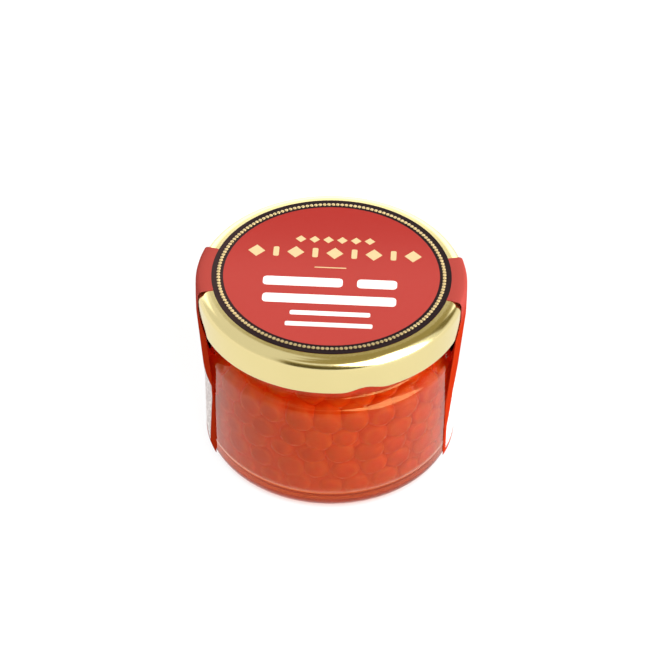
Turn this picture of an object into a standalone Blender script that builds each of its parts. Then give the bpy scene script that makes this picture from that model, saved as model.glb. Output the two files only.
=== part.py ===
"""Salmon roe in its shut glass jar, with a gold twist-off lid and a paper seal over lid and glass.

The jar stands on its base. The origin is where the jar's axis meets the surface it stands on,
+Z is up and -Y is the front. The seal's two wings run down the left (-X) and right (+X) sides.
"""
import math
import random

import bmesh
import bpy
from mathutils import Euler, Vector

MM = 0.001

# Driving dimensions
STEPS = 60                      # facets round the jar and the lid
GAP = 0.3 * MM                  # clearance between pieces that touch

LID_RADIUS = 33.0 * MM
LID_TOP = 49.4 * MM             # height of the lid's flat panel
LID_LOW = 39.9 * MM             # height of the lid's lower edge
LID_CORNER = 2.8 * MM           # rounding between panel and skirt
LID_WALL = 0.8 * MM
CURL_RADIUS = 1.0 * MM          # rolled lower edge
LUG_COUNT = 4
LUG_AZIMUTH = math.radians(-75)  # the lug that shows, a little right of the front
LUG_HALF_ANGLE = math.radians(10)
LUG_DEPTH = 0.9 * MM            # how far a lug is pressed in
LUG_LIFT = 0.5 * MM             # how far pressing it lifts the edge

JAR_RADIUS = 31.5 * MM
WALL = 2.4 * MM
BASE_THICKNESS = 2.2 * MM
PUSH_UP = 1.0 * MM              # hollow under the middle of the base
PUSH_UP_RADIUS = 18.5 * MM
RING_RADIUS = 22.0 * MM         # inner edge of the flat ring that the jar rests on
HEEL_RADIUS = 4.0 * MM
INNER_HEEL_RADIUS = 3.4 * MM
SHOULDER_HEIGHT = 32.8 * MM     # where the wall and the shoulder would meet if they were sharp
SHOULDER_RISE = math.radians(28)   # slope of the shoulder above the level
SHOULDER_BEND = 2.3 * MM
INNER_SHOULDER_HEIGHT = 31.7 * MM
INNER_SHOULDER_BEND = 3.0 * MM
NECK_RADIUS = 28.1 * MM
NECK_WALL = 2.0 * MM
NECK_FILLET = 1.0 * MM          # hollow where the shoulder meets the neck
FILLET_STEP = 1.3 * MM          # a fillet has about one facet for each such step of its radius
BEAD_RADIUS = 30.7 * MM         # ring on the neck that the lid's lugs hold
BEAD_LOW = 43.0 * MM
BEAD_HEIGHT = 1.6 * MM
LIP_RADIUS = 0.9 * MM

LABEL_RADIUS = 29.3 * MM
LABEL_THICKNESS = 0.25 * MM
LABEL_STEPS = 68                # facets round the disc
LABEL_TURN = math.radians(-2.8)  # the right wing lies a little nearer the front
WING_FACETS = 3                 # half a wing's width at the disc, in facets of the disc
WING_FULL_HALF_WIDTH = 13.4 * MM
WING_DRIFT = math.radians(2.8)  # where they widen, the wings swing back to the jar's sides
WING_FLARED = 35.5 * MM         # height down to which a wing widens
WING_MEETS_WALL = 19.5 * MM     # height where a wing comes to lie on the glass
WING_LOW = 2.2 * MM             # height of the wings' lower edges
WING_ROWS_OVER_CORNER = 3
WING_ROWS_IN_AIR = 2
WING_ROWS_ON_GLASS = 2

EGG_RADIUS = 3.2 * MM
EGG_SIZE_SPREAD = 0.05
EGG_SPACING = 6.35 * MM
EGG_ROW_SPACING = 5.7 * MM
EGG_PROUD = 1.7 * MM            # how far the eggs stand out of the core
EGG_SIDES = 6
EGG_RINGS = 4
CORE_STEPS = 30                 # facets round the core, which the eggs hide
FILL_HEIGHT = 42.5 * MM
EGG_SEED = 7


def clear_scene():
    """Removes whatever the scene holds."""
    for old in list(bpy.data.objects):
        bpy.data.objects.remove(old, do_unlink=True)


def make_material(name, colour, roughness, metallic=0.0, transmission=0.0):
    """A plain finish for one sub-part."""
    material = bpy.data.materials.new(name)
    material.use_nodes = True
    shader = material.node_tree.nodes["Principled BSDF"]
    shader.inputs["Base Color"].default_value = (*colour, 1.0)
    shader.inputs["Roughness"].default_value = roughness
    shader.inputs["Metallic"].default_value = metallic
    shader.inputs["Transmission Weight"].default_value = transmission
    return material


def arc(centre, radius, start, end, steps):
    """Points on an arc of the turned profile, angles measured from the outward direction."""
    points = []
    for i in range(steps + 1):
        angle = start + (end - start) * i / steps
        points.append((centre[0] + radius * math.cos(angle), centre[1] + radius * math.sin(angle)))
    return points


def turn(name, profile, steps, material, collection):
    """Turns a profile of (radius, height) points about the Z axis."""
    mesh = bpy.data.meshes.new(name)
    vertices = [(radius, 0.0, height) for radius, height in profile]
    edges = [(i, i + 1) for i in range(len(profile) - 1)]
    mesh.from_pydata(vertices, edges, [])
    mesh.materials.append(material)
    piece = bpy.data.objects.new(name, mesh)
    collection.objects.link(piece)
    screw = piece.modifiers.new("turned", "SCREW")
    screw.axis = "Z"
    screw.angle = math.tau
    screw.steps = steps
    screw.render_steps = steps
    screw.use_merge_vertices = True
    screw.merge_threshold = 0.00001
    screw.use_smooth_shade = True
    return piece


def settle(piece):
    """Makes a piece's modifiers part of its mesh."""
    depsgraph = bpy.context.evaluated_depsgraph_get()
    solid = bpy.data.meshes.new_from_object(piece.evaluated_get(depsgraph))
    piece.modifiers.clear()
    piece.data = solid
    return piece


def shoulder(wall_radius, height, bend, neck_radius, fillet):
    """Points from an upright wall round the shoulder to the foot of the neck."""
    lean = math.pi / 2 - SHOULDER_RISE
    lift = math.tan(lean / 2)
    foot = height + (wall_radius - neck_radius) * math.tan(SHOULDER_RISE)
    fillet_steps = max(1, round(fillet / FILLET_STEP))
    points = arc((wall_radius - bend, height - bend * lift), bend, 0.0, lean, 2)
    fillet_centre = (neck_radius + fillet, foot + fillet * lift)
    points += arc(fillet_centre, fillet, math.pi + lean, math.pi, fillet_steps)
    return points


def inner_shoulder(offset):
    """The inside of the glass from the upright wall to the neck, moved in by offset."""
    drop = math.tan((math.pi / 2 - SHOULDER_RISE) / 2)
    return shoulder(
        JAR_RADIUS - WALL - offset,
        INNER_SHOULDER_HEIGHT - offset * drop,
        max(INNER_SHOULDER_BEND - offset, GAP),
        NECK_RADIUS - NECK_WALL - offset,
        NECK_FILLET + offset,
    )


def inside_of_glass(offset):
    """The inside of the glass from the middle of the floor to the neck, moved in by offset."""
    floor = BASE_THICKNESS + PUSH_UP
    heel = max(INNER_HEEL_RADIUS, offset + GAP)
    heel_centre = (JAR_RADIUS - WALL - heel, floor + heel)
    outline = [(0.0, floor + offset)]
    outline += arc(heel_centre, heel - offset, -math.pi / 2, 0.0, 3)
    outline += inner_shoulder(offset)
    return outline


def make_jar(collection):
    """The glass: one wall from the floor over the rim and down to the base."""
    glass = make_material("glass", (0.93, 0.96, 0.95), 0.02, transmission=1.0)
    outer_shoulder = shoulder(JAR_RADIUS, SHOULDER_HEIGHT, SHOULDER_BEND, NECK_RADIUS, NECK_FILLET)
    mouth = NECK_RADIUS - NECK_WALL
    rim = LID_TOP - LID_WALL - GAP
    bead = [
        (NECK_RADIUS, BEAD_LOW + BEAD_HEIGHT + BEAD_RADIUS - NECK_RADIUS),
        (BEAD_RADIUS, BEAD_LOW + BEAD_HEIGHT),
        (BEAD_RADIUS, BEAD_LOW),
        (NECK_RADIUS, BEAD_LOW - BEAD_RADIUS + NECK_RADIUS),
    ]
    profile = inside_of_glass(0.0)
    profile += [(mouth, rim - LIP_RADIUS), (mouth + LIP_RADIUS / 2, rim)]
    profile += [(NECK_RADIUS - LIP_RADIUS / 2, rim), (NECK_RADIUS, rim - LIP_RADIUS)]
    profile += bead
    profile += reversed(outer_shoulder)
    profile += arc((JAR_RADIUS - HEEL_RADIUS, HEEL_RADIUS), HEEL_RADIUS, 0.0, -math.pi / 2, 3)
    profile += [(RING_RADIUS, 0.0), (PUSH_UP_RADIUS, PUSH_UP), (0.0, PUSH_UP)]
    return turn("jar", profile, STEPS, glass, collection)


def press_lugs(lid):
    """Presses the rolled edge inwards and a little up at each lug."""
    bend_height = CURL_RADIUS * 3
    spacing = math.tau / LUG_COUNT
    for vertex in lid.data.vertices:
        radius = math.hypot(vertex.co.x, vertex.co.y)
        depth = 1.0 - vertex.co.z / bend_height
        azimuth = math.atan2(vertex.co.y, vertex.co.x)
        away = (azimuth - LUG_AZIMUTH + spacing / 2) % spacing - spacing / 2
        if depth <= 0.0 or abs(away) >= LUG_HALF_ANGLE:
            continue
        share = math.cos(away / LUG_HALF_ANGLE * math.pi / 2)
        inward = 1.0 - LUG_DEPTH * share * depth / radius
        vertex.co.x *= inward
        vertex.co.y *= inward
        vertex.co.z += LUG_LIFT * share * depth


def make_lid(collection):
    """The cap of gold-lacquered tinplate: flat panel, upright skirt, rolled edge with four lugs."""
    gold = make_material("gold_lacquer", (0.82, 0.68, 0.36), 0.25, metallic=1.0)
    height = LID_TOP - LID_LOW
    inner = LID_RADIUS - LID_WALL
    curl = (LID_RADIUS - CURL_RADIUS, CURL_RADIUS)
    curl_end = math.acos((inner - curl[0]) / CURL_RADIUS) - math.tau
    corner = (LID_RADIUS - LID_CORNER, height - LID_CORNER)
    profile = [(0.0, height)]
    profile += arc(corner, LID_CORNER, math.pi / 2, 0.0, 5)
    profile += arc(curl, CURL_RADIUS, 0.0, curl_end, 6)
    profile += arc(corner, LID_CORNER - LID_WALL, 0.0, math.pi / 2, 3)
    profile += [(0.0, height - LID_WALL)]
    lid = turn("lid", profile, STEPS, gold, collection)
    settle(lid)
    press_lugs(lid)
    lid.location = (0.0, 0.0, LID_LOW)
    return lid


def wing_start_half_width():
    """Half a wing's width where it leaves the disc."""
    return LABEL_RADIUS * math.sin(math.tau * WING_FACETS / LABEL_STEPS)


def wing_rows():
    """Rows down a wing's inner face as (distance from the axis, height, half width, drift)."""
    over_lid = LID_RADIUS + GAP
    on_wall = JAR_RADIUS + GAP
    leaves_lid = LID_LOW + CURL_RADIUS
    corner = (LID_RADIUS - LID_CORNER, LID_TOP - LID_CORNER)
    line = arc(corner, LID_CORNER + GAP, math.pi / 2, 0.0, WING_ROWS_OVER_CORNER)
    heights = [leaves_lid]
    for top, bottom, count in (
        (WING_FLARED, WING_MEETS_WALL, WING_ROWS_IN_AIR),
        (WING_MEETS_WALL, WING_LOW, WING_ROWS_ON_GLASS),
    ):
        heights += [top + (bottom - top) * i / count for i in range(count)]
    for height in heights + [WING_LOW]:
        share = min(1.0, (leaves_lid - height) / (leaves_lid - WING_MEETS_WALL))
        line.append((over_lid + (on_wall - over_lid) * share, height))
    start = wing_start_half_width()
    rows = []
    for distance, height in line:
        flared = min(1.0, max(0.0, (leaves_lid - height) / (leaves_lid - WING_FLARED)))
        half_width = start + (WING_FULL_HALF_WIDTH - start) * flared
        rows.append((distance, height, half_width, WING_DRIFT * flared))
    return rows


def pull_wing(sheet, side):
    """Extrudes the disc's edge on one side into a wing, row by row."""
    start = wing_start_half_width()
    edge = [
        rim for rim in sheet.edges
        if len(rim.link_faces) == 1
        and all(side * corner.co.x > 0.0 and abs(corner.co.y) < start + GAP for corner in rim.verts)
    ]
    half_width_before = start
    drift_before = 0.0
    for distance, height, half_width, drift in wing_rows():
        pulled = bmesh.ops.extrude_edge_only(sheet, edges=edge)["geom"]
        edge = [part for part in pulled if isinstance(part, bmesh.types.BMEdge)]
        for vertex in [part for part in pulled if isinstance(part, bmesh.types.BMVert)]:
            reach = math.hypot(vertex.co.x, vertex.co.y)
            angle = math.asin(vertex.co.y / reach) - side * drift_before
            across = reach * math.sin(angle) * half_width / half_width_before
            angle = math.asin(across / distance) + side * drift
            vertex.co = Vector((side * distance * math.cos(angle), distance * math.sin(angle), height))
        half_width_before = half_width
        drift_before = drift


def make_label(collection):
    """The paper seal: a disc on the lid and two wings stuck down the sides of the glass."""
    paper = make_material("label_paper", (0.55, 0.06, 0.045), 0.45)
    mesh = bpy.data.meshes.new("label")
    sheet = bmesh.new()
    bmesh.ops.create_circle(sheet, cap_ends=True, segments=LABEL_STEPS, radius=LABEL_RADIUS)
    bmesh.ops.translate(sheet, verts=sheet.verts, vec=(0.0, 0.0, LID_TOP + GAP))
    for side in (-1.0, 1.0):
        pull_wing(sheet, side)
    bmesh.ops.recalc_face_normals(sheet, faces=sheet.faces)
    disc = max(sheet.faces, key=lambda face: face.calc_area())
    if disc.normal.z < 0.0:
        bmesh.ops.reverse_faces(sheet, faces=sheet.faces)
    sheet.to_mesh(mesh)
    sheet.free()
    mesh.materials.append(paper)
    label = bpy.data.objects.new("label", mesh)
    collection.objects.link(label)
    thickness = label.modifiers.new("paper", "SOLIDIFY")
    thickness.thickness = LABEL_THICKNESS
    thickness.offset = 1.0
    thickness.use_even_offset = True
    label.rotation_euler = (0.0, 0.0, LABEL_TURN)
    return label


def inside_up_to_fill(offset):
    """The inside of the glass from the middle of the floor to the roe's top, moved in by offset."""
    outline = inside_of_glass(offset)
    outline.append((outline[-1][0], FILL_HEIGHT))
    return outline


def along(outline, distance):
    """The point at a distance along an outline, or None past its end."""
    for start, end in zip(outline, outline[1:]):
        length = math.dist(start, end)
        if distance <= length:
            share = distance / length
            return tuple(a + (b - a) * share for a, b in zip(start, end))
        distance -= length
    return None


def lay_eggs(collection, material):
    """Eggs in rings against the glass, over the floor, round the heel and up the wall."""
    chance = random.Random(EGG_SEED)
    outline = inside_up_to_fill(GAP + EGG_RADIUS * (1.0 + EGG_SIZE_SPREAD))
    ball = bmesh.new()
    bmesh.ops.create_uvsphere(ball, u_segments=EGG_SIDES, v_segments=EGG_RINGS, radius=1.0)
    mesh = bpy.data.meshes.new("egg")
    ball.to_mesh(mesh)
    ball.free()
    mesh.materials.append(material)
    row = 0
    while True:
        place = along(outline, row * EGG_ROW_SPACING)
        if place is None or place[1] + EGG_RADIUS > FILL_HEIGHT:
            return
        distance, height = place
        count = max(1, int(math.tau * distance / EGG_SPACING))
        for i in range(count):
            azimuth = math.tau * (i + 0.5 * (row % 2)) / count
            size = EGG_RADIUS * (1.0 + EGG_SIZE_SPREAD * chance.uniform(-1.0, 1.0))
            egg = bpy.data.objects.new(f"egg_{row}_{i}", mesh)
            egg.location = (distance * math.cos(azimuth), distance * math.sin(azimuth), height)
            egg.rotation_euler = Euler([chance.uniform(0.0, math.tau) for _ in range(3)])
            egg.scale = (size, size, size)
            collection.objects.link(egg)
        row += 1


def keep_outer_body(mesh):
    """Drops sealed hollows and loose scraps, so that one closed body is left."""
    body = bmesh.new()
    body.from_mesh(mesh)
    unseen = set(body.verts)
    shells = []
    while unseen:
        shell = {unseen.pop()}
        front = list(shell)
        while front:
            vertex = front.pop()
            for edge in vertex.link_edges:
                other = edge.other_vert(vertex)
                if other in unseen:
                    unseen.remove(other)
                    shell.add(other)
                    front.append(other)
        shells.append(shell)
    shells.sort(key=len)
    for shell in shells[:-1]:
        bmesh.ops.delete(body, geom=list(shell), context="VERTS")
    body.to_mesh(mesh)
    body.free()


def make_roe(collection):
    """The roe: a core that fills the jar, with the eggs that show through the glass fused on."""
    skin = make_material("roe", (0.75, 0.13, 0.02), 0.15)
    outline = inside_up_to_fill(GAP + EGG_PROUD)
    profile = [(0.0, FILL_HEIGHT)] + outline[::-1]
    core = turn("roe", profile, CORE_STEPS, skin, collection)
    settle(core)
    eggs = bpy.data.collections.new("eggs")
    bpy.context.scene.collection.children.link(eggs)
    lay_eggs(eggs, skin)
    fuse = core.modifiers.new("eggs", "BOOLEAN")
    fuse.operation = "UNION"
    fuse.operand_type = "COLLECTION"
    fuse.collection = eggs
    fuse.solver = "MANIFOLD"
    settle(core)
    for egg in list(eggs.objects):
        bpy.data.objects.remove(egg, do_unlink=True)
    bpy.data.collections.remove(eggs)
    keep_outer_body(core.data)
    return core


def main():
    clear_scene()
    parts = bpy.data.collections.new("salmon_roe_jar")
    bpy.context.scene.collection.children.link(parts)
    make_jar(parts)
    make_lid(parts)
    make_label(parts)
    make_roe(parts)


main()
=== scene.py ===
"""A small shut jar of salmon roe on a white table, seen from above the front.

The jar stands with its axis on Z and its base at height 0. The front is -Y.
"""
import math
import random

import bpy
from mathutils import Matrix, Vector


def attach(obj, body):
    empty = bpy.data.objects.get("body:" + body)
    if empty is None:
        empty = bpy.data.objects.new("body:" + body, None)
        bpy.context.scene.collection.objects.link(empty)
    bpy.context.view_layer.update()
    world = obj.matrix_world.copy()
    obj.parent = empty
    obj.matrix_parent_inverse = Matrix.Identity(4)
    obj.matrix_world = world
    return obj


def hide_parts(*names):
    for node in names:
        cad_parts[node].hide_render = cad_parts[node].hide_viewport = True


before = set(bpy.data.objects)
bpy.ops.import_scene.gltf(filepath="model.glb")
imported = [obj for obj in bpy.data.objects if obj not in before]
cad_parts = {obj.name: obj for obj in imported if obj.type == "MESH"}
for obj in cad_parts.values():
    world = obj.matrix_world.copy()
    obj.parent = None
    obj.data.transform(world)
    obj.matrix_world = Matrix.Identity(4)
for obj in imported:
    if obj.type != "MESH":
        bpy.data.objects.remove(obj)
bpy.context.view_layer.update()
MM = 0.001

# Camera
# A long lens from above the front, 0.6 m from the middle of the jar. The picture's centre
# lies off the jar's middle, so the lens is shifted a little.
CAMERA_DISTANCE = 600 * MM
CAMERA_HEIGHT = 25 * MM
CAMERA_ELEVATION = math.radians(41.35)
CAMERA_ROLL = math.radians(0.62)
CAMERA_LENS = 129.31
CAMERA_SENSOR = 36.0
CAMERA_SHIFT = (0.0042, 0.0256)

bpy.ops.object.camera_add(
    location=(
        0.0,
        -CAMERA_DISTANCE * math.cos(CAMERA_ELEVATION),
        CAMERA_HEIGHT + CAMERA_DISTANCE * math.sin(CAMERA_ELEVATION),
    ),
    rotation=(math.pi / 2 - CAMERA_ELEVATION, 0.0, 0.0),
)
camera = bpy.context.object
camera.name = "camera"
camera.rotation_euler.rotate_axis("Z", CAMERA_ROLL)
camera.data.lens = CAMERA_LENS
camera.data.sensor_width = CAMERA_SENSOR
camera.data.shift_x, camera.data.shift_y = CAMERA_SHIFT
camera.data.clip_start = 10 * MM
bpy.context.scene.camera = camera
bpy.context.scene.view_settings.view_transform = "Standard"

# Table
# A smooth white table top that runs out of sight, lit so brightly that only a trace of the
# jar's shadow shows. Under the jar its light is orange, as it comes through the roe.
TABLE_SIZE = 6.0
TABLE_GREY = 0.12
TABLE_GLOW = 0.90
JAR_SHADE = 27.0 * MM
JAR_SHADE_EDGE = 31.0 * MM


class Value:
    """A number that varies over a surface. Expressions on it add their Math nodes."""

    def __init__(self, finish, socket):
        self.finish = finish
        self.socket = socket

    def maths(self, operation, *values):
        return self.finish.node("ShaderNodeMath", {"operation": operation}, dict(enumerate(values)))

    def __add__(self, other):
        return self.maths("ADD", self, other)

    def __radd__(self, other):
        return self.maths("ADD", other, self)

    def __sub__(self, other):
        return self.maths("SUBTRACT", self, other)

    def __rsub__(self, other):
        return self.maths("SUBTRACT", other, self)

    def __mul__(self, other):
        return self.maths("MULTIPLY", self, other)

    def __rmul__(self, other):
        return self.maths("MULTIPLY", other, self)

    def least(self, other):
        return self.maths("MINIMUM", self, other)

    def magnitude(self):
        return self.maths("ABSOLUTE", self)

    def fraction(self):
        return self.maths("FRACT", self)

    def arcsine(self):
        return self.maths("ARCSINE", self)

    def bearing(self, ahead):
        """The angle from straight ahead of a direction that reaches so far across and ahead."""
        return self.maths("ARCTAN2", self, ahead)

    def power(self, exponent):
        return self.maths("POWER", self, exponent)

    def rises(self, low, high):
        """Goes smoothly from 0 at low to 1 at high."""
        settings = {"interpolation_type": "SMOOTHSTEP"}
        return self.finish.node("ShaderNodeMapRange", settings, {0: self, 1: low, 2: high})

    def between(self, low, high, soft):
        """1 from low to high, with edges that fade over soft on both sides."""
        return self.rises(low - soft, low + soft) * (1.0 - self.rises(high - soft, high + soft))


class Finish:
    """The nodes of one material, or of the light that comes from all round."""

    def __init__(self, owner):
        owner.use_nodes = True
        self.owner = owner
        self.tree = owner.node_tree

    def node(self, kind, settings, values, output=0):
        """Adds a node: its settings first, then the values or links of its sockets."""
        made = self.tree.nodes.new(kind)
        for name, setting in settings.items():
            setattr(made, name, setting)
        for name, value in values.items():
            if isinstance(value, Value):
                self.tree.links.new(value.socket, made.inputs[name])
            else:
                made.inputs[name].default_value = value
        return Value(self, made.outputs[output])

    def place(self):
        """Where a point of the piece lies, in metres from the middle of the jar's base."""
        return self.node("ShaderNodeTexCoord", {}, {}, 3)

    def parts(self, vector):
        """The three numbers of a vector."""
        first = self.node("ShaderNodeSeparateXYZ", {}, {0: vector})
        return [Value(self, socket) for socket in first.socket.node.outputs]

    def mix(self, share, first, second):
        """A colour that goes from first to second with share."""
        return self.node("ShaderNodeMix", {"data_type": "RGBA"}, {0: share, 6: first, 7: second}, 2)

    def noise(self, place, scale, detail, roughness=0.5):
        """A cloudy value round 0.5. The scale is in clouds for each metre."""
        values = {"Vector": place, "Scale": scale, "Detail": detail, "Roughness": roughness}
        return self.node("ShaderNodeTexNoise", {}, values)

    def bump(self, height, strength, distance):
        values = {"Height": height, "Strength": strength, "Distance": distance}
        return self.node("ShaderNodeBump", {}, values)

    def feed(self, name, value, shader="Principled BSDF"):
        """Sets the shader's socket of that name to a value or a link."""
        shader = self.tree.nodes[shader]
        if isinstance(value, Value):
            self.tree.links.new(value.socket, shader.inputs[name])
        else:
            shader.inputs[name].default_value = value


def new_finish(name):
    """A new material's finish, and the place on the piece that its patterns read."""
    paint = Finish(bpy.data.materials.new(name))
    return paint, paint.place()


bpy.ops.object.select_all(action="DESELECT")
bpy.ops.mesh.primitive_grid_add(x_subdivisions=8, y_subdivisions=8, size=TABLE_SIZE)
table = bpy.context.object
table.name = "table"
paint, place = new_finish("table_white")
cloud = paint.noise(place, 3.0, 2.0)
darker = (TABLE_GREY - 0.01,) * 3 + (1.0,)
lighter = (TABLE_GREY + 0.01,) * 3 + (1.0,)
paint.feed("Base Color", paint.mix(cloud, darker, lighter))
paint.feed("Roughness", 0.7)
paint.feed("Specular IOR Level", 0.1)
east, north, _ = paint.parts(place)
outside = (east * east + north * north).power(0.5).rises(JAR_SHADE, JAR_SHADE_EDGE)
paint.feed("Emission Color", paint.mix(outside, (0.80, 0.13, 0.02, 1.0), (1.0, 1.0, 1.0, 1.0)))
paint.feed("Emission Strength", TABLE_GLOW)
table.data.materials.append(paint.owner)

# Light
# Soft light from white walls all round: a lamp that widens to the right over a dark gap in
# front, a paler panel at the left, a white wall behind and a dim, warm ceiling.
WALL_LIGHT = 0.95
BACK_LIGHT = 2.5
CEILING_LIGHT = 0.38
PANEL_LIGHT = 0.9
LAMP_LIGHT = 7.6
STRIP_LIGHT = 1.0
LEFT_LIGHT = 0.9
CORNER_LIGHT = 0.2
GAP_LIGHT = 0.10

world = bpy.context.scene.world or bpy.data.worlds.new("studio")
bpy.context.scene.world = world
studio = Finish(world)
direction = studio.node("ShaderNodeTexCoord", {}, {}, 0)
across, ahead, upward = studio.parts(direction)
elevation = upward.arcsine() * math.degrees(1.0)
azimuth = across.bearing(ahead * -1.0) * math.degrees(1.0)


def lit(light, share, strength):
    """Blends the light so far towards a strength over a share of the sky."""
    return light + share * (strength - light)


left_side = azimuth.between(-172.0, -40.0, 6.0) * (1.0 - elevation.rises(76.0, 84.0))
light = lit(CEILING_LIGHT, left_side, LEFT_LIGHT)
light = lit(light, 1.0 - elevation.rises(8.0, 13.0), WALL_LIGHT)
back = azimuth.magnitude().rises(120.0, 130.0) * (1.0 - elevation.rises(30.0, 42.0))
light = lit(light, back, BACK_LIGHT)
right_corner = azimuth.between(95.0, 122.0, 4.0) * elevation.between(14.0, 45.0, 5.0)
light = lit(light, right_corner, CORNER_LIGHT)
right_panel = azimuth.between(66.0, 95.0, 3.0) * elevation.between(-2.0, 65.0, 3.0)
light = lit(light, right_panel, PANEL_LIGHT)
front_gap = azimuth.between(-36.0, 40.0, 4.0) * elevation.between(-4.0, 28.0, 3.0)
light = lit(light, front_gap, GAP_LIGHT)
strip = azimuth.between(-40.0, 10.0, 6.0) * elevation.between(38.0, 52.0, 3.0)
light = lit(light, strip, STRIP_LIGHT)
lamp = (elevation + 1.5 * azimuth).rises(52.0, 58.0)
lamp = lamp * (1.0 - (elevation - 0.22 * azimuth).rises(43.0, 48.0))
lamp = lamp * azimuth.between(0.0, 78.0, 4.0) * elevation.rises(-6.0, -1.0)
light = lit(light, lamp, LAMP_LIGHT)
warm = studio.mix(light.rises(0.25, 0.8), (1.0, 0.84, 0.32, 1.0), (1.0, 1.0, 1.0, 1.0))
studio.feed("Color", warm, "Background")
studio.feed("Strength", light, "Background")

# Glass jar
# A pressed jar of clear soda-lime glass. It has a hollowed base with a flat resting ring,
# an upright wall, a rounded shoulder and an upright neck with the ring that the lid grips.
JAR_RADIUS = 31.5 * MM
GLASS_WALL = 2.4 * MM
FLOOR_HEIGHT = 3.2 * MM
INNER_HEEL = 3.4 * MM
HEEL = 4.0 * MM
SHOULDER_HEIGHT = 32.8 * MM
SHOULDER_RISE = math.radians(28)
SHOULDER_BEND = 2.3 * MM
INNER_SHOULDER_HEIGHT = 31.7 * MM
INNER_SHOULDER_BEND = 3.0 * MM
NECK_RADIUS = 28.1 * MM
NECK_WALL = 2.0 * MM
NECK_FILLET = 1.0 * MM
NECK_FOOT = 40.4 * MM
GRIP_RING_RADIUS = 30.7 * MM
GRIP_RING_LOW = 43.0 * MM
GRIP_RING_HIGH = 44.6 * MM
GRIP_RING_END = 47.1 * MM
RIM_HEIGHT = 48.3 * MM
RIM_ROUNDING = 1.0 * MM
RESTING_RING = 22.0 * MM
BASE_HOLLOW = 1.0 * MM
BASE_HOLLOW_RADIUS = 18.5 * MM
LEAST_BEND = 0.3 * MM
TURNED_STEPS = 192


def arc(centre, radius, start, end, steps):
    """Points on an arc of a profile, with angles in degrees from the outward direction."""
    points = []
    for i in range(steps + 1):
        angle = math.radians(start + (end - start) * i / steps)
        points.append((centre[0] + radius * math.cos(angle), centre[1] + radius * math.sin(angle)))
    return points


def shoulder(wall_radius, height, bend, neck_radius, fillet, steps):
    """Points from an upright wall round the shoulder to the foot of the neck."""
    lean = math.pi / 2 - SHOULDER_RISE
    lift = math.tan(lean / 2)
    foot = height + (wall_radius - neck_radius) * math.tan(SHOULDER_RISE)
    turn = math.degrees(lean)
    points = arc((wall_radius - bend, height - bend * lift), bend, 0.0, turn, steps)
    points += arc((neck_radius + fillet, foot + fillet * lift), fillet, 180.0 + turn, 180.0, steps)
    return points


def inside_of_glass(outset, top, steps):
    """The inside of the glass from the middle of the floor to a height, moved out by outset."""
    radius = JAR_RADIUS - GLASS_WALL
    drop = math.tan((math.pi / 2 - SHOULDER_RISE) / 2)
    points = [(0.0, FLOOR_HEIGHT - outset)]
    heel = max(INNER_HEEL, LEAST_BEND - outset)
    points += arc((radius - heel, FLOOR_HEIGHT + heel), heel + outset, -90.0, 0.0, steps)
    points += shoulder(
        radius + outset,
        INNER_SHOULDER_HEIGHT + outset * drop,
        max(INNER_SHOULDER_BEND + outset, LEAST_BEND),
        NECK_RADIUS - NECK_WALL + outset,
        NECK_FILLET - outset,
        steps,
    )
    points.append((points[-1][0], top))
    return points


def drawn(name, profile):
    """Draws a profile of (radius, height) points by extruding a point, and stays in edit mode."""
    bpy.ops.object.select_all(action="DESELECT")
    bpy.ops.mesh.primitive_plane_add(size=MM)
    piece = bpy.context.object
    piece.name = name
    piece.data.name = name
    bpy.ops.object.mode_set(mode="EDIT")
    bpy.ops.mesh.select_mode(type="VERT")
    bpy.ops.mesh.select_all(action="SELECT")
    bpy.ops.mesh.merge(type="CENTER")
    bpy.ops.transform.translate(value=(profile[0][0], 0.0, profile[0][1]))
    for here, there in zip(profile, profile[1:]):
        step = (there[0] - here[0], 0.0, there[1] - here[1])
        bpy.ops.mesh.extrude_vertices_move(TRANSFORM_OT_translate={"value": step})
    bpy.ops.mesh.select_all(action="SELECT")
    return piece


def turned(name, profile, steps):
    """Draws a profile and spins it all the way round the jar's axis."""
    piece = drawn(name, profile)
    bpy.ops.mesh.spin(steps=steps, angle=math.tau, center=(0.0, 0.0, 0.0), axis=(0.0, 0.0, 1.0))
    bpy.ops.mesh.select_all(action="SELECT")
    bpy.ops.mesh.remove_doubles(threshold=0.01 * MM)
    bpy.ops.mesh.normals_make_consistent(inside=False)
    bpy.ops.object.mode_set(mode="OBJECT")
    bpy.ops.object.shade_smooth_by_angle(angle=math.radians(35))
    return piece


glass_profile = inside_of_glass(0.0, RIM_HEIGHT - RIM_ROUNDING, 8)
rim_centre = (NECK_RADIUS - RIM_ROUNDING, RIM_HEIGHT - RIM_ROUNDING)
glass_profile += arc(rim_centre, RIM_ROUNDING, 180.0, 0.0, 8)
glass_profile += [(NECK_RADIUS, GRIP_RING_END), (GRIP_RING_RADIUS, GRIP_RING_HIGH)]
glass_profile += [(GRIP_RING_RADIUS, GRIP_RING_LOW), (NECK_RADIUS, NECK_FOOT)]
outer_shoulder = shoulder(JAR_RADIUS, SHOULDER_HEIGHT, SHOULDER_BEND, NECK_RADIUS, NECK_FILLET, 8)
glass_profile += outer_shoulder[::-1]
glass_profile += arc((JAR_RADIUS - HEEL, HEEL), HEEL, 0.0, -90.0, 12)
glass_profile += [(RESTING_RING, 0.0), (RESTING_RING - 1.5 * MM, 0.3 * BASE_HOLLOW)]
glass_profile += [(BASE_HOLLOW_RADIUS, BASE_HOLLOW), (0.0, BASE_HOLLOW)]
glass_jar = turned("glass_jar", glass_profile, TURNED_STEPS)


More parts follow.
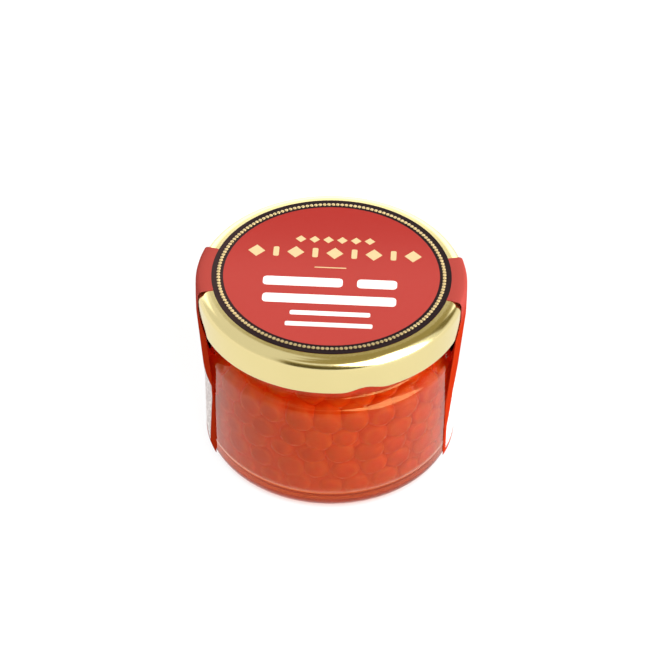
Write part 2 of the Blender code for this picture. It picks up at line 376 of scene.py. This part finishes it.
def clear_glass(name, tint):
    """Clear pressed glass: faint waves from the mould, and a slightly uneven polish."""
    paint, place = new_finish(name)
    waves = paint.noise(place, 90.0, 1.0)
    grain = paint.noise(place, 900.0, 2.0)
    paint.feed("Base Color", (0.985, 0.995, 0.99, 1.0))
    paint.feed("Roughness", 0.004 + 0.012 * grain)
    paint.feed("Transmission Weight", 1.0)
    paint.feed("IOR", 1.5)
    paint.feed("Specular Tint", tint)
    paint.feed("Normal", paint.bump(waves, 0.12, 0.2 * MM))
    return paint.owner


glass_jar.data.materials.append(clear_glass("glass", (0.92, 0.77, 0.28, 1.0)))
glass_jar.data.materials.append(clear_glass("glass_wetted", (0.0, 0.0, 0.0, 1.0)))
# The inner wall and the floor are wetted, so they have no shine of their own.
for face in glass_jar.data.polygons:
    reach = math.hypot(face.center.x, face.center.y)
    inward = face.normal.x * face.center.x + face.normal.y * face.center.y < -0.2 * reach
    inside = reach < JAR_RADIUS - GLASS_WALL / 2 and face.center.z > FLOOR_HEIGHT / 2
    on_floor = face.normal.z > 0.5 and face.center.z < FLOOR_HEIGHT + INNER_HEEL
    if (inward and inside) or on_floor:
        face.material_index = 1
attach(glass_jar, "root")
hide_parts("jar")

# Brine
# The clear, orange-tinted liquid that wets the eggs and fills what room they leave. It
# reaches just into the glass wall, so that no air shows between the two.
BRINE_INTO_GLASS = 0.15 * MM
BRINE_TOP = 43.5 * MM

brine_profile = inside_of_glass(BRINE_INTO_GLASS, BRINE_TOP, 8)
brine_profile.append((0.0, BRINE_TOP))
brine = turned("brine", brine_profile, TURNED_STEPS)
paint, place = new_finish("brine_orange")
cloud = paint.noise(place, 160.0, 2.0)
paint.feed("Base Color", paint.mix(cloud, (0.97, 0.80, 0.66, 1.0), (0.99, 0.86, 0.74, 1.0)))
paint.feed("Roughness", 0.0)
paint.feed("Transmission Weight", 1.0)
paint.feed("IOR", 1.34)
paint.feed("Specular Tint", (0.0, 0.0, 0.0, 1.0))
brine.data.materials.append(paint.owner)
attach(brine, "root")

# Salmon roe
# Soft, translucent orange eggs, cured in salt and poured in loose. Those at the glass are pressed flat
# against it and against each other, with deeper red painted in the creases between as painted shade.
EGG_RADIUS = 3.9 * MM
EGG_SPACING = 6.2 * MM
ROW_SPACING = 5.2 * MM
ROE_TOP = 43.0 * MM
EGG_DEPTH = 3.1 * MM
EGG_FROM_GLASS = 0.14 * MM
EGG_STRETCH = 0.06
EGG_SIZES = (0.92, 1.04)
EGG_SEED = 11
CORE_DEPTH = 2.5 * MM
CORE_FOOT = 4.6 * MM
CORE_FROM_FLOOR = 0.12 * MM

chance = random.Random(EGG_SEED)


def along(outline, distance):
    """The point at a distance along an outline, or None past its end."""
    for start, end in zip(outline, outline[1:]):
        length = math.dist(start, end)
        if distance <= length:
            share = distance / length
            return tuple(a + (b - a) * share for a, b in zip(start, end))
        distance -= length
    return None


def room(outline, height):
    """How far an outline lies from the jar's axis at a height."""
    for (near, low), (far, high) in zip(outline, outline[1:]):
        if low < high and height <= high:
            return near + (far - near) * max(0.0, height - low) / (high - low)
    return outline[-1][0]


roe_outline = inside_of_glass(-EGG_FROM_GLASS, ROE_TOP, 6)
bpy.ops.object.select_all(action="DESELECT")
bpy.ops.mesh.primitive_ico_sphere_add(subdivisions=2, radius=1.0)
first_egg = bpy.context.object
bpy.ops.object.shade_smooth()
eggs = []


def lay_egg(place, size):
    """A copy of the egg at a place, pressed against the glass, with a tone of its own."""
    mesh = first_egg.data.copy()
    stretch = Vector([1.0 + EGG_STRETCH * chance.uniform(-1.0, 1.0) for _ in range(3)])
    for vertex in mesh.vertices:
        spot = Vector(place) + size * vertex.co * stretch
        spot.z = max(spot.z, FLOOR_HEIGHT + EGG_FROM_GLASS)
        press = min(1.0, room(roe_outline, spot.z) / math.hypot(spot.x, spot.y))
        vertex.co = (spot.x * press, spot.y * press, spot.z)
    tone = mesh.attributes.new("tone", "FLOAT", "POINT")
    tone.data.foreach_set("value", [chance.random()] * len(mesh.vertices))
    egg = bpy.data.objects.new("egg", mesh)
    bpy.context.scene.collection.objects.link(egg)
    eggs.append(egg)


# Rings of eggs from the middle of the floor out to the wall and up to the neck.
outline = inside_of_glass(-EGG_DEPTH, ROE_TOP, 3)
row = 0
spot = along(outline, 0.0)
while spot and spot[1] <= ROE_TOP - EGG_RADIUS:
    distance, height = spot
    count = max(1, int(math.tau * distance / EGG_SPACING))
    swing = chance.random()
    for i in range(count):
        angle = math.tau * (i + swing + chance.uniform(-0.14, 0.14)) / count
        reach = distance - chance.uniform(0.0, 0.4) * MM
        level = height + chance.uniform(-0.5, 0.7) * MM
        radius = EGG_RADIUS * chance.uniform(*EGG_SIZES)
        lay_egg((reach * math.cos(angle), reach * math.sin(angle), level), radius)
    row += 1
    spot = along(outline, row * ROW_SPACING)

# A core behind the outer eggs stands for those further in.
inner_eggs = inside_of_glass(-CORE_DEPTH, ROE_TOP - CORE_DEPTH, 6)
lowest_eggs = inside_of_glass(-CORE_FROM_FLOOR, ROE_TOP, 6)
core_profile = [point for point in lowest_eggs if point[1] < CORE_FOOT]
core_profile += [point for point in inner_eggs if point[1] > CORE_FOOT + CORE_DEPTH]
core_profile.append((0.0, ROE_TOP - CORE_DEPTH))
core = turned("roe_core", core_profile, 96)
bpy.ops.object.select_all(action="DESELECT")
for egg in eggs:
    egg.select_set(True)
core.select_set(True)
bpy.context.view_layer.objects.active = eggs[0]
bpy.ops.object.join()
salmon_eggs = bpy.context.object
salmon_eggs.name = "salmon_eggs"
salmon_eggs.data.name = "salmon_eggs"
bpy.data.objects.remove(first_egg)

# The colour goes with the depth behind the glass: a painted highlight makes it pale where an egg bends
# away, and painted shade makes it red in the creases and deeper red under the lid.
paint, place = new_finish("egg_orange")
east, north, height = paint.parts(place)
from_wall = JAR_RADIUS - GLASS_WALL - (east * east + north * north).power(0.5)
below_shoulder = INNER_SHOULDER_HEIGHT - height + from_wall * math.tan(SHOULDER_RISE)
from_shoulder = below_shoulder * math.cos(SHOULDER_RISE)
depth = from_wall.least(from_shoulder).least(height - FLOOR_HEIGHT)
tone = paint.node("ShaderNodeAttribute", {"attribute_name": "tone"}, {}, 2)
cloud = paint.noise(place, 420.0, 2.0)
lid_shade = height.rises(31.0 * MM, 36.0 * MM)
shaded = 1.0 - (1.0 - lid_shade) * (1.0 - east.magnitude().rises(25.5 * MM, 28.0 * MM))
# Painted highlight: a paler rim where an egg bends away from the glass.
painted_rim_highlight = depth.between(0.45 * MM, 1.0 * MM, 0.3 * MM)
colour = paint.mix(tone, (0.64, 0.042, 0.001, 1.0), (0.70, 0.064, 0.002, 1.0))
colour = paint.mix(0.7 * painted_rim_highlight, colour, (0.74, 0.105, 0.008, 1.0))
# Painted shade: deeper red in the creases between the eggs.
colour = paint.mix(depth.rises(1.4 * MM, 2.5 * MM), colour, (0.62, 0.034, 0.001, 1.0))
# Painted shade: deeper red where the lid shades the roe.
colour = paint.mix(0.9 * lid_shade, colour, (0.60, 0.014, 0.001, 1.0))
colour = paint.mix(cloud * 0.25, colour, (0.68, 0.042, 0.002, 1.0))
paint.feed("Base Color", colour)
paint.feed("Roughness", 0.25 + 0.15 * cloud)
paint.feed("Subsurface Weight", 0.9)
paint.feed("Subsurface Radius", (1.0, 0.35, 0.15))
paint.feed("Subsurface Scale", 4.0 * MM)
# Painted light: the eggs glow a little, more in the creases, and most where the lid and the paper wings
# shade them.
behind = depth.rises(0.5 * MM, 2.0 * MM)
glow = paint.mix(behind, (0.39, 0.018, 0.001, 1.0), (0.48, 0.029, 0.001, 1.0))
paint.feed("Emission Color", paint.mix(shaded, glow, (0.74, 0.012, 0.001, 1.0)))
paint.feed("Emission Strength", 0.30)
paint.feed("IOR", 1.37)
paint.feed("Specular IOR Level", 0.1)
paint.feed("Normal", paint.bump(cloud, 0.15, 0.2 * MM))
salmon_eggs.data.materials.clear()
salmon_eggs.data.materials.append(paint.owner)
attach(salmon_eggs, "root")
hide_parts("roe")

# Lid
# A twist-off cap pressed from tinplate and lacquered gold, with a rounded corner, an
# upright skirt and a rolled lower edge. Four lugs in the roll hold the ring on the neck.
LID_RADIUS = 33.0 * MM
LID_TOP = 49.7 * MM
LID_LOW = 39.9 * MM
LID_CORNER = 2.8 * MM
LID_METAL = 0.8 * MM
CURL = 1.0 * MM
LUG_COUNT = 4
LUG_AZIMUTH = math.radians(-75)
LUG_HALF_ANGLE = math.radians(10)
LUG_DEPTH = 0.9 * MM
LUG_LIFT = 0.5 * MM
LUG_HEIGHT = 3.0 * MM

corner = (LID_RADIUS - LID_CORNER, LID_TOP - LID_CORNER)
curl = (LID_RADIUS - CURL, LID_LOW + CURL)
curl_end = math.degrees(math.acos((CURL - LID_METAL) / CURL)) - 360.0
lid_profile = [(0.0, LID_TOP), (20.0 * MM, LID_TOP)]
lid_profile += arc(corner, LID_CORNER, 90.0, 0.0, 16)
lid_profile += [(LID_RADIUS, LID_LOW + 3.5 * MM), (LID_RADIUS, LID_LOW + 2.2 * MM)]
lid_profile += arc(curl, CURL, 0.0, curl_end, 20)
lid_profile += arc(corner, LID_CORNER - LID_METAL, 0.0, 90.0, 8)
lid_profile += [(0.0, LID_TOP - LID_METAL)]
gold_lid = turned("gold_lid", lid_profile, 240)

# Each lug is pressed in and up out of the skirt's lower edge.
for vertex in gold_lid.data.vertices:
    reach = math.hypot(vertex.co.x, vertex.co.y)
    share_down = 1.0 - (vertex.co.z - LID_LOW) / LUG_HEIGHT
    angle = math.atan2(vertex.co.y, vertex.co.x) - LUG_AZIMUTH
    off = (angle + math.pi / LUG_COUNT) % (math.tau / LUG_COUNT) - math.pi / LUG_COUNT
    on_skirt = reach > LID_RADIUS - 3.0 * CURL
    if share_down > 0.0 and abs(off) < LUG_HALF_ANGLE and on_skirt:
        press = math.cos(off / LUG_HALF_ANGLE * math.pi / 2) ** 2 * share_down
        inward = 1.0 - LUG_DEPTH * press / reach
        vertex.co.x *= inward
        vertex.co.y *= inward
        vertex.co.z += LUG_LIFT * press

paint, place = new_finish("gold_lacquer")
cloud = paint.noise(place, 60.0, 2.0)
grain = paint.noise(place, 1500.0, 3.0)
paint.feed("Base Color", paint.mix(cloud, (0.75, 0.635, 0.295, 1.0), (0.79, 0.67, 0.33, 1.0)))
paint.feed("Metallic", 1.0)
paint.feed("Roughness", 0.13 + 0.08 * grain)
paint.feed("Normal", paint.bump(grain, 0.06, 0.05 * MM))
gold_lid.data.materials.append(paint.owner)
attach(gold_lid, "root")
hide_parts("lid")

# Paper seal
# One die-cut piece of varnished paper, printed red: a disc glued on the lid with a dark
# border, and two wings that run over the lid's corner, hang taut and end on the glass.
PAPER = 0.12 * MM
GLUE = 0.02 * MM
DISC_RADIUS = 29.3 * MM
DISC_ROUNDING = 0.03 * MM
BORDER_RADIUS = 26.4 * MM
SEAL_TURN = math.radians(-2.8)
WING_SPREAD = math.radians(60)
WING_TOP_HALF_ANGLE = math.radians(15.6)
WING_LOW_HALF = 13.4 * MM
WING_LOW = 2.2 * MM
WING_RADIUS = 33.1 * MM
WING_FLARES = 45.0 * MM
WING_FLARED = 39.6 * MM
WING_LEAVES_LID = 40.9 * MM
WING_MEETS_GLASS = 19.5 * MM
SPECKLE_ROW = 1.15 * MM


def turn_mesh(angle):
    """Turns what is selected about the jar's axis, anticlockwise seen from above."""
    bpy.ops.transform.rotate(value=-angle, orient_axis="Z", center_override=(0.0, 0.0, 0.0))


seal_top = LID_TOP + GLUE + PAPER
disc_profile = [(0.0, seal_top)]
disc_profile += [(BORDER_RADIUS * share, seal_top) for share in (0.35, 0.7, 1.0)]
disc_profile += [(DISC_RADIUS - DISC_ROUNDING, seal_top), (DISC_RADIUS, seal_top - DISC_ROUNDING)]
disc_profile += [(DISC_RADIUS, LID_TOP + GLUE), (0.0, LID_TOP + GLUE)]
seal_disc = turned("seal_disc", disc_profile, 240)

wing_line = [(DISC_RADIUS - 1.0 * MM, LID_TOP + GLUE / 2), (30.5 * MM, LID_TOP + GLUE / 2)]
wing_line += [(32.0 * MM, 49.66 * MM), (32.5 * MM, 49.5 * MM), (32.85 * MM, 49.15 * MM)]
wing_line += [(33.0 * MM, 48.6 * MM), (33.05 * MM, 47.5 * MM), (33.07 * MM, 46.2 * MM)]
wing_line += [(WING_RADIUS, WING_FLARES - 0.45 * MM * i) for i in range(10)]
hanging = [height * MM for height in (40.4, 40.0, 39.6, 38.0, 36.0, 33.0, 30.0, 26.0, 22.0)]
for height in [WING_LEAVES_LID] + hanging + [WING_MEETS_GLASS]:
    share = (height - WING_MEETS_GLASS) / (WING_LEAVES_LID - WING_MEETS_GLASS)
    reach = JAR_RADIUS + GLUE + (WING_RADIUS - JAR_RADIUS - GLUE) * share
    wing_line.append((reach, height))
wing_line += [(JAR_RADIUS + GLUE, height * MM) for height in (16.0, 12.0, 8.0, 5.0)]
wing_line.append((JAR_RADIUS + GLUE, WING_LOW))


def wing_edge(side, reach, height):
    """The angle of the right wing's front (-1) or back (1) edge at a place on the wing."""
    flared = min(1.0, max(0.0, (WING_FLARES - height) / (WING_FLARES - WING_FLARED)))
    flared = flared * flared * (3.0 - 2.0 * flared)
    top = SEAL_TURN + side * WING_TOP_HALF_ANGLE
    return top + (side * math.asin(WING_LOW_HALF / reach) - top) * flared


# A strip is spun out of the wing's line, and its points then slide to between the two edges.
right_wing = drawn("seal_wing_right", wing_line)
turn_mesh(-WING_SPREAD / 2)
bpy.ops.mesh.spin(steps=48, angle=-WING_SPREAD, center=(0.0, 0.0, 0.0), axis=(0.0, 0.0, 1.0))
bpy.ops.mesh.select_all(action="SELECT")
bpy.ops.mesh.remove_doubles(threshold=0.005 * MM)
bpy.ops.object.mode_set(mode="OBJECT")
for vertex in right_wing.data.vertices:
    reach = math.hypot(vertex.co.x, vertex.co.y)
    share = math.atan2(vertex.co.y, vertex.co.x) / WING_SPREAD + 0.5
    front = wing_edge(-1.0, reach, vertex.co.z)
    angle = front + (wing_edge(1.0, reach, vertex.co.z) - front) * share
    vertex.co.x = reach * math.cos(angle)
    vertex.co.y = reach * math.sin(angle)
thickness = right_wing.modifiers.new("paper", "SOLIDIFY")
thickness.thickness = PAPER
thickness.offset = 1.0
thickness.use_even_offset = True
thickness.material_offset = 2
thickness.material_offset_rim = 1
bpy.ops.object.modifier_apply(modifier="paper")
bpy.ops.object.shade_smooth_by_angle(angle=math.radians(40))

# The left wing is the same piece turned half round.
left_wing = bpy.data.objects.new("seal_wing_left", right_wing.data.copy())
bpy.context.scene.collection.objects.link(left_wing)
for vertex in left_wing.data.vertices:
    vertex.co.x *= -1.0
    vertex.co.y *= -1.0
wings = [right_wing, left_wing]


def varnished_paper(name, gloss):
    """Printed and varnished paper with its fibres and slight unevenness, still without colour."""
    paint, place = new_finish(name)
    fibre = paint.noise(place, 700.0, 3.0, 0.6)
    cloud = paint.noise(place, 45.0, 2.0)
    paint.feed("Roughness", 0.42 + 0.1 * fibre)
    paint.feed("Specular IOR Level", gloss)
    paint.feed("Normal", paint.bump(cloud + 0.12 * fibre, 0.3, 0.4 * MM))
    return paint, paint.parts(place), fibre, cloud


def printed_red(paint, fibre, cloud, light):
    """The seal's red, a little darker in clouds and along the fibres."""
    red = paint.mix(cloud, tuple(0.92 * part for part in light) + (1.0,), light + (1.0,))
    return paint.mix(fibre * 0.2, red, (0.38, 0.02, 0.013, 1.0))


paint, (_, north, _), fibre, cloud = varnished_paper("disc_red", 0.15)
red = printed_red(paint, fibre, cloud, (0.385, 0.034, 0.025))
# Painted shade: the red is painted deeper towards the back of the disc.
back_shade = north.rises(-4.0 * MM, 26.0 * MM)
paint.feed("Base Color", paint.mix(back_shade, red, (0.32, 0.010, 0.004, 1.0)))
disc_red = paint.owner

paint, (east, _, _), fibre, cloud = varnished_paper("border_black", 0.06)
# Painted sheen: the black border is painted lighter towards the left.
left_sheen = east.rises(-30.0 * MM, -15.0 * MM)
black = paint.mix(left_sheen, (0.030, 0.014, 0.014, 1.0), (0.012, 0.004, 0.005, 1.0))
paint.feed("Base Color", black)
border_black = paint.owner

# Each wing has a white field with fine grey speckle in rows, slanted where the paper is.
paint, (east, north, height), fibre, cloud = varnished_paper("wing_red", 0.0)
red = printed_red(paint, fibre, cloud, (0.36, 0.022, 0.003))
# Painted sheen: the red is painted pinker where the wings run over the lid.
red = paint.mix(height.rises(41.0 * MM, 49.0 * MM), red, (0.36, 0.055, 0.045, 1.0))
is_right = east.rises(-1.0 * MM, 1.0 * MM)
left_field = (north + 0.161 * height).between(-8.8 * MM, 10.0 * MM, 0.15 * MM)
left_field = left_field * (height - 0.16 * north).between(4.2 * MM, 26.3 * MM, 0.15 * MM)
right_field = north.between(-12.0 * MM, 10.0 * MM, 0.15 * MM)
right_field = right_field * height.between(3.4 * MM, 25.0 * MM, 0.15 * MM)
right_field = right_field * (1.0 - (height - 2.25 * north).rises(37.2 * MM, 38.2 * MM))
field = left_field + is_right * (right_field - left_field)
row = (height * (1.0 / SPECKLE_ROW)).fraction()
flat = paint.node("ShaderNodeCombineXYZ", {}, {0: north, 1: height})
speckle = paint.noise(flat, 900.0, 2.0)
grey = row.between(0.25, 0.62, 0.08) * speckle.rises(0.42, 0.5)
white = paint.mix(grey, (0.84, 0.78, 0.76, 1.0), (0.30, 0.24, 0.24, 1.0))
paint.feed("Base Color", paint.mix(field, red, white))
wing_red = paint.owner

paint, place = new_finish("paper_edge")
fibre = paint.noise(place, 2500.0, 3.0, 0.6)
paint.feed("Base Color", paint.mix(fibre, (0.72, 0.60, 0.56, 1.0), (0.86, 0.80, 0.78, 1.0)))
paint.feed("Roughness", 0.8)
paint.feed("Normal", paint.bump(fibre, 0.3, 0.05 * MM))
paper_edge = paint.owner

# The wings' backs are painted in the orange light that comes through the roe, and glow with it: painted
# light.
paint, place = new_finish("paper_back")
fibre = paint.noise(place, 900.0, 3.0, 0.6)
colour = paint.mix(fibre, (0.60, 0.030, 0.002, 1.0), (0.66, 0.040, 0.004, 1.0))
paint.feed("Base Color", colour)
paint.feed("Roughness", 0.8)
paint.feed("Emission Color", colour)
paint.feed("Emission Strength", 0.6)
paint.feed("Normal", paint.bump(fibre, 0.2, 0.05 * MM))
paper_back = paint.owner

seal_disc.data.materials.append(disc_red)
seal_disc.data.materials.append(border_black)
for face in seal_disc.data.polygons:
    face.material_index = int(math.hypot(face.center.x, face.center.y) > BORDER_RADIUS)
for piece in wings:
    for paper in (wing_red, paper_edge, paper_back):
        piece.data.materials.append(paper)
bpy.ops.object.select_all(action="DESELECT")
for piece in [seal_disc] + wings:
    piece.select_set(True)
bpy.context.view_layer.objects.active = seal_disc
bpy.ops.object.join()
paper_seal = bpy.context.object
paper_seal.name = "paper_seal"
paper_seal.data.name = "paper_seal"
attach(paper_seal, "root")
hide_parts("label")

# Print on the disc
# A ring of small raised gold beads on the dark border, and rows of plain lozenges and bars
# in gold and white across the red. All are thick printed foil and ink.
BEAD_COUNT = 157
BEAD_RING = 27.55 * MM
BEAD_WIDTH = 0.96 * MM
BEAD_HEIGHT = 0.16 * MM
INK = 0.02 * MM
SMALL_ROW = 13.2 * MM
SMALL_LOZENGE = 2.6 * MM
LARGE_ROW = 8.0 * MM
LARGE_LOZENGE = (4.2 * MM, 4.4 * MM)
LARGE_BAR = (1.4 * MM, 3.6 * MM)
RULE_ROW = 2.4 * MM

bpy.ops.object.select_all(action="DESELECT")
bpy.ops.mesh.primitive_uv_sphere_add(segments=8, ring_count=6, radius=BEAD_WIDTH / 2)
seal_beads = bpy.context.object
seal_beads.name = "seal_beads"
seal_beads.data.name = "seal_beads"
bpy.ops.object.mode_set(mode="EDIT")
bpy.ops.mesh.select_all(action="SELECT")
bpy.ops.mesh.bisect(plane_co=(0.0, 0.0, 0.0), plane_no=(0.0, 0.0, 1.0), use_fill=True, clear_inner=True)
bpy.ops.mesh.select_all(action="SELECT")
flattened = (1.0, 1.0, 2.0 * BEAD_HEIGHT / BEAD_WIDTH)
bpy.ops.transform.resize(value=flattened, center_override=(0.0, 0.0, 0.0))
bpy.ops.transform.translate(value=(BEAD_RING, 0.0, seal_top))
bpy.ops.mesh.spin(
    steps=BEAD_COUNT,
    dupli=True,
    angle=math.tau,
    center=(0.0, 0.0, 0.0),
    axis=(0.0, 0.0, 1.0),
)
bpy.ops.mesh.select_all(action="SELECT")
bpy.ops.mesh.remove_doubles(threshold=0.001 * MM)
bpy.ops.object.mode_set(mode="OBJECT")
bpy.ops.object.shade_smooth_by_angle(angle=math.radians(60))


def print_shape(kind, middle, height, left, width):
    """A lozenge, or a bar with round corners, laid out in the seal's own directions."""
    bpy.ops.object.select_all(action="DESELECT")
    if kind == "lozenge":
        bpy.ops.mesh.primitive_circle_add(vertices=4, radius=0.5, fill_type="NGON")
    else:
        bpy.ops.mesh.primitive_plane_add(size=1.0)
    shape = bpy.context.object
    bpy.ops.object.mode_set(mode="EDIT")
    bpy.ops.mesh.select_all(action="SELECT")
    bpy.ops.transform.resize(value=(width, height, 1.0))
    if kind == "bar":
        bpy.ops.mesh.bevel(offset=0.3 * min(width, height), segments=4, affect="VERTICES")
    bpy.ops.mesh.extrude_region_move(TRANSFORM_OT_translate={"value": (0.0, 0.0, INK)})
    bpy.ops.mesh.select_all(action="SELECT")
    bpy.ops.transform.translate(value=(left + width / 2, middle, seal_top))
    bpy.ops.object.mode_set(mode="OBJECT")
    return shape


def finish_print(name, shapes, ink):
    """Joins the shapes of one ink, turns them with the seal, and lets them ride on the jar."""
    bpy.ops.object.select_all(action="DESELECT")
    for shape in shapes:
        shape.select_set(True)
    bpy.context.view_layer.objects.active = shapes[0]
    bpy.ops.object.join()
    print_piece = bpy.context.object
    print_piece.name = name
    print_piece.data.name = name
    bpy.ops.object.mode_set(mode="EDIT")
    bpy.ops.mesh.select_all(action="SELECT")
    bpy.ops.mesh.normals_make_consistent(inside=False)
    turn_mesh(SEAL_TURN)
    bpy.ops.object.mode_set(mode="OBJECT")
    print_piece.data.materials.append(ink)
    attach(print_piece, "root")


def printed(name, light, dark, metallic, roughness):
    """A thick opaque ink or foil with a faint grain, and painted shade that makes it dimmer towards the
    front.
    """
    paint, place = new_finish(name)
    grain = paint.noise(place, 1800.0, 2.0)
    _, north, _ = paint.parts(place)
    colour = paint.mix(grain, dark, light)
    # Painted shade: the ink and foil are painted dimmer towards the front.
    front_shade = tuple(0.62 * part for part in dark[:3]) + (1.0,)
    paint.feed("Base Color", paint.mix(north.rises(-28.0 * MM, -14.0 * MM), front_shade, colour))
    paint.feed("Metallic", metallic)
    paint.feed("Roughness", roughness + 0.1 * grain)
    paint.feed("Normal", paint.bump(grain, 0.1, 0.03 * MM))
    return paint.owner


bead_gold = printed("bead_gold", (0.66, 0.50, 0.25, 1.0), (0.56, 0.42, 0.18, 1.0), 0.6, 0.3)
gold_foil = printed("gold_foil", (0.70, 0.52, 0.27, 1.0), (0.62, 0.45, 0.22, 1.0), 0.2, 0.35)
white_ink = printed("white_ink", (0.90, 0.87, 0.86, 1.0), (0.82, 0.78, 0.77, 1.0), 0.0, 0.4)
seal_beads.data.materials.append(bead_gold)
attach(seal_beads, "root")

gold_shapes = []
for i in range(6):
    left = (-9.6 + 3.42 * i) * MM
    gold_shapes.append(print_shape("lozenge", SMALL_ROW, SMALL_LOZENGE, left, SMALL_LOZENGE))
for i in range(9):
    left = (-21.0 + 4.82 * i) * MM
    if i % 2 == 0:
        width, height = LARGE_LOZENGE
        gold_shapes.append(print_shape("lozenge", LARGE_ROW, height, left, width))
    else:
        width, height = LARGE_BAR
        gold_shapes.append(print_shape("bar", LARGE_ROW, height, left + width, width))
gold_shapes.append(print_shape("bar", RULE_ROW, 0.35 * MM, -4.3 * MM, 7.8 * MM))
finish_print("seal_gold_print", gold_shapes, gold_foil)

# Each white bar's middle line and height, then its left end and width, in millimetres.
white_shapes = []
for middle, height, left, width in (
    (-3.3, 3.3, -16.5, 19.4),
    (-3.3, 3.3, 6.4, 9.7),
    (-9.7, 3.3, -16.2, 32.3),
    (-14.9, 1.6, -9.2, 19.3),
    (-19.0, 1.6, -10.1, 20.9),
):
    white_shapes.append(print_shape("bar", middle * MM, height * MM, left * MM, width * MM))
finish_print("seal_white_print", white_shapes, white_ink)
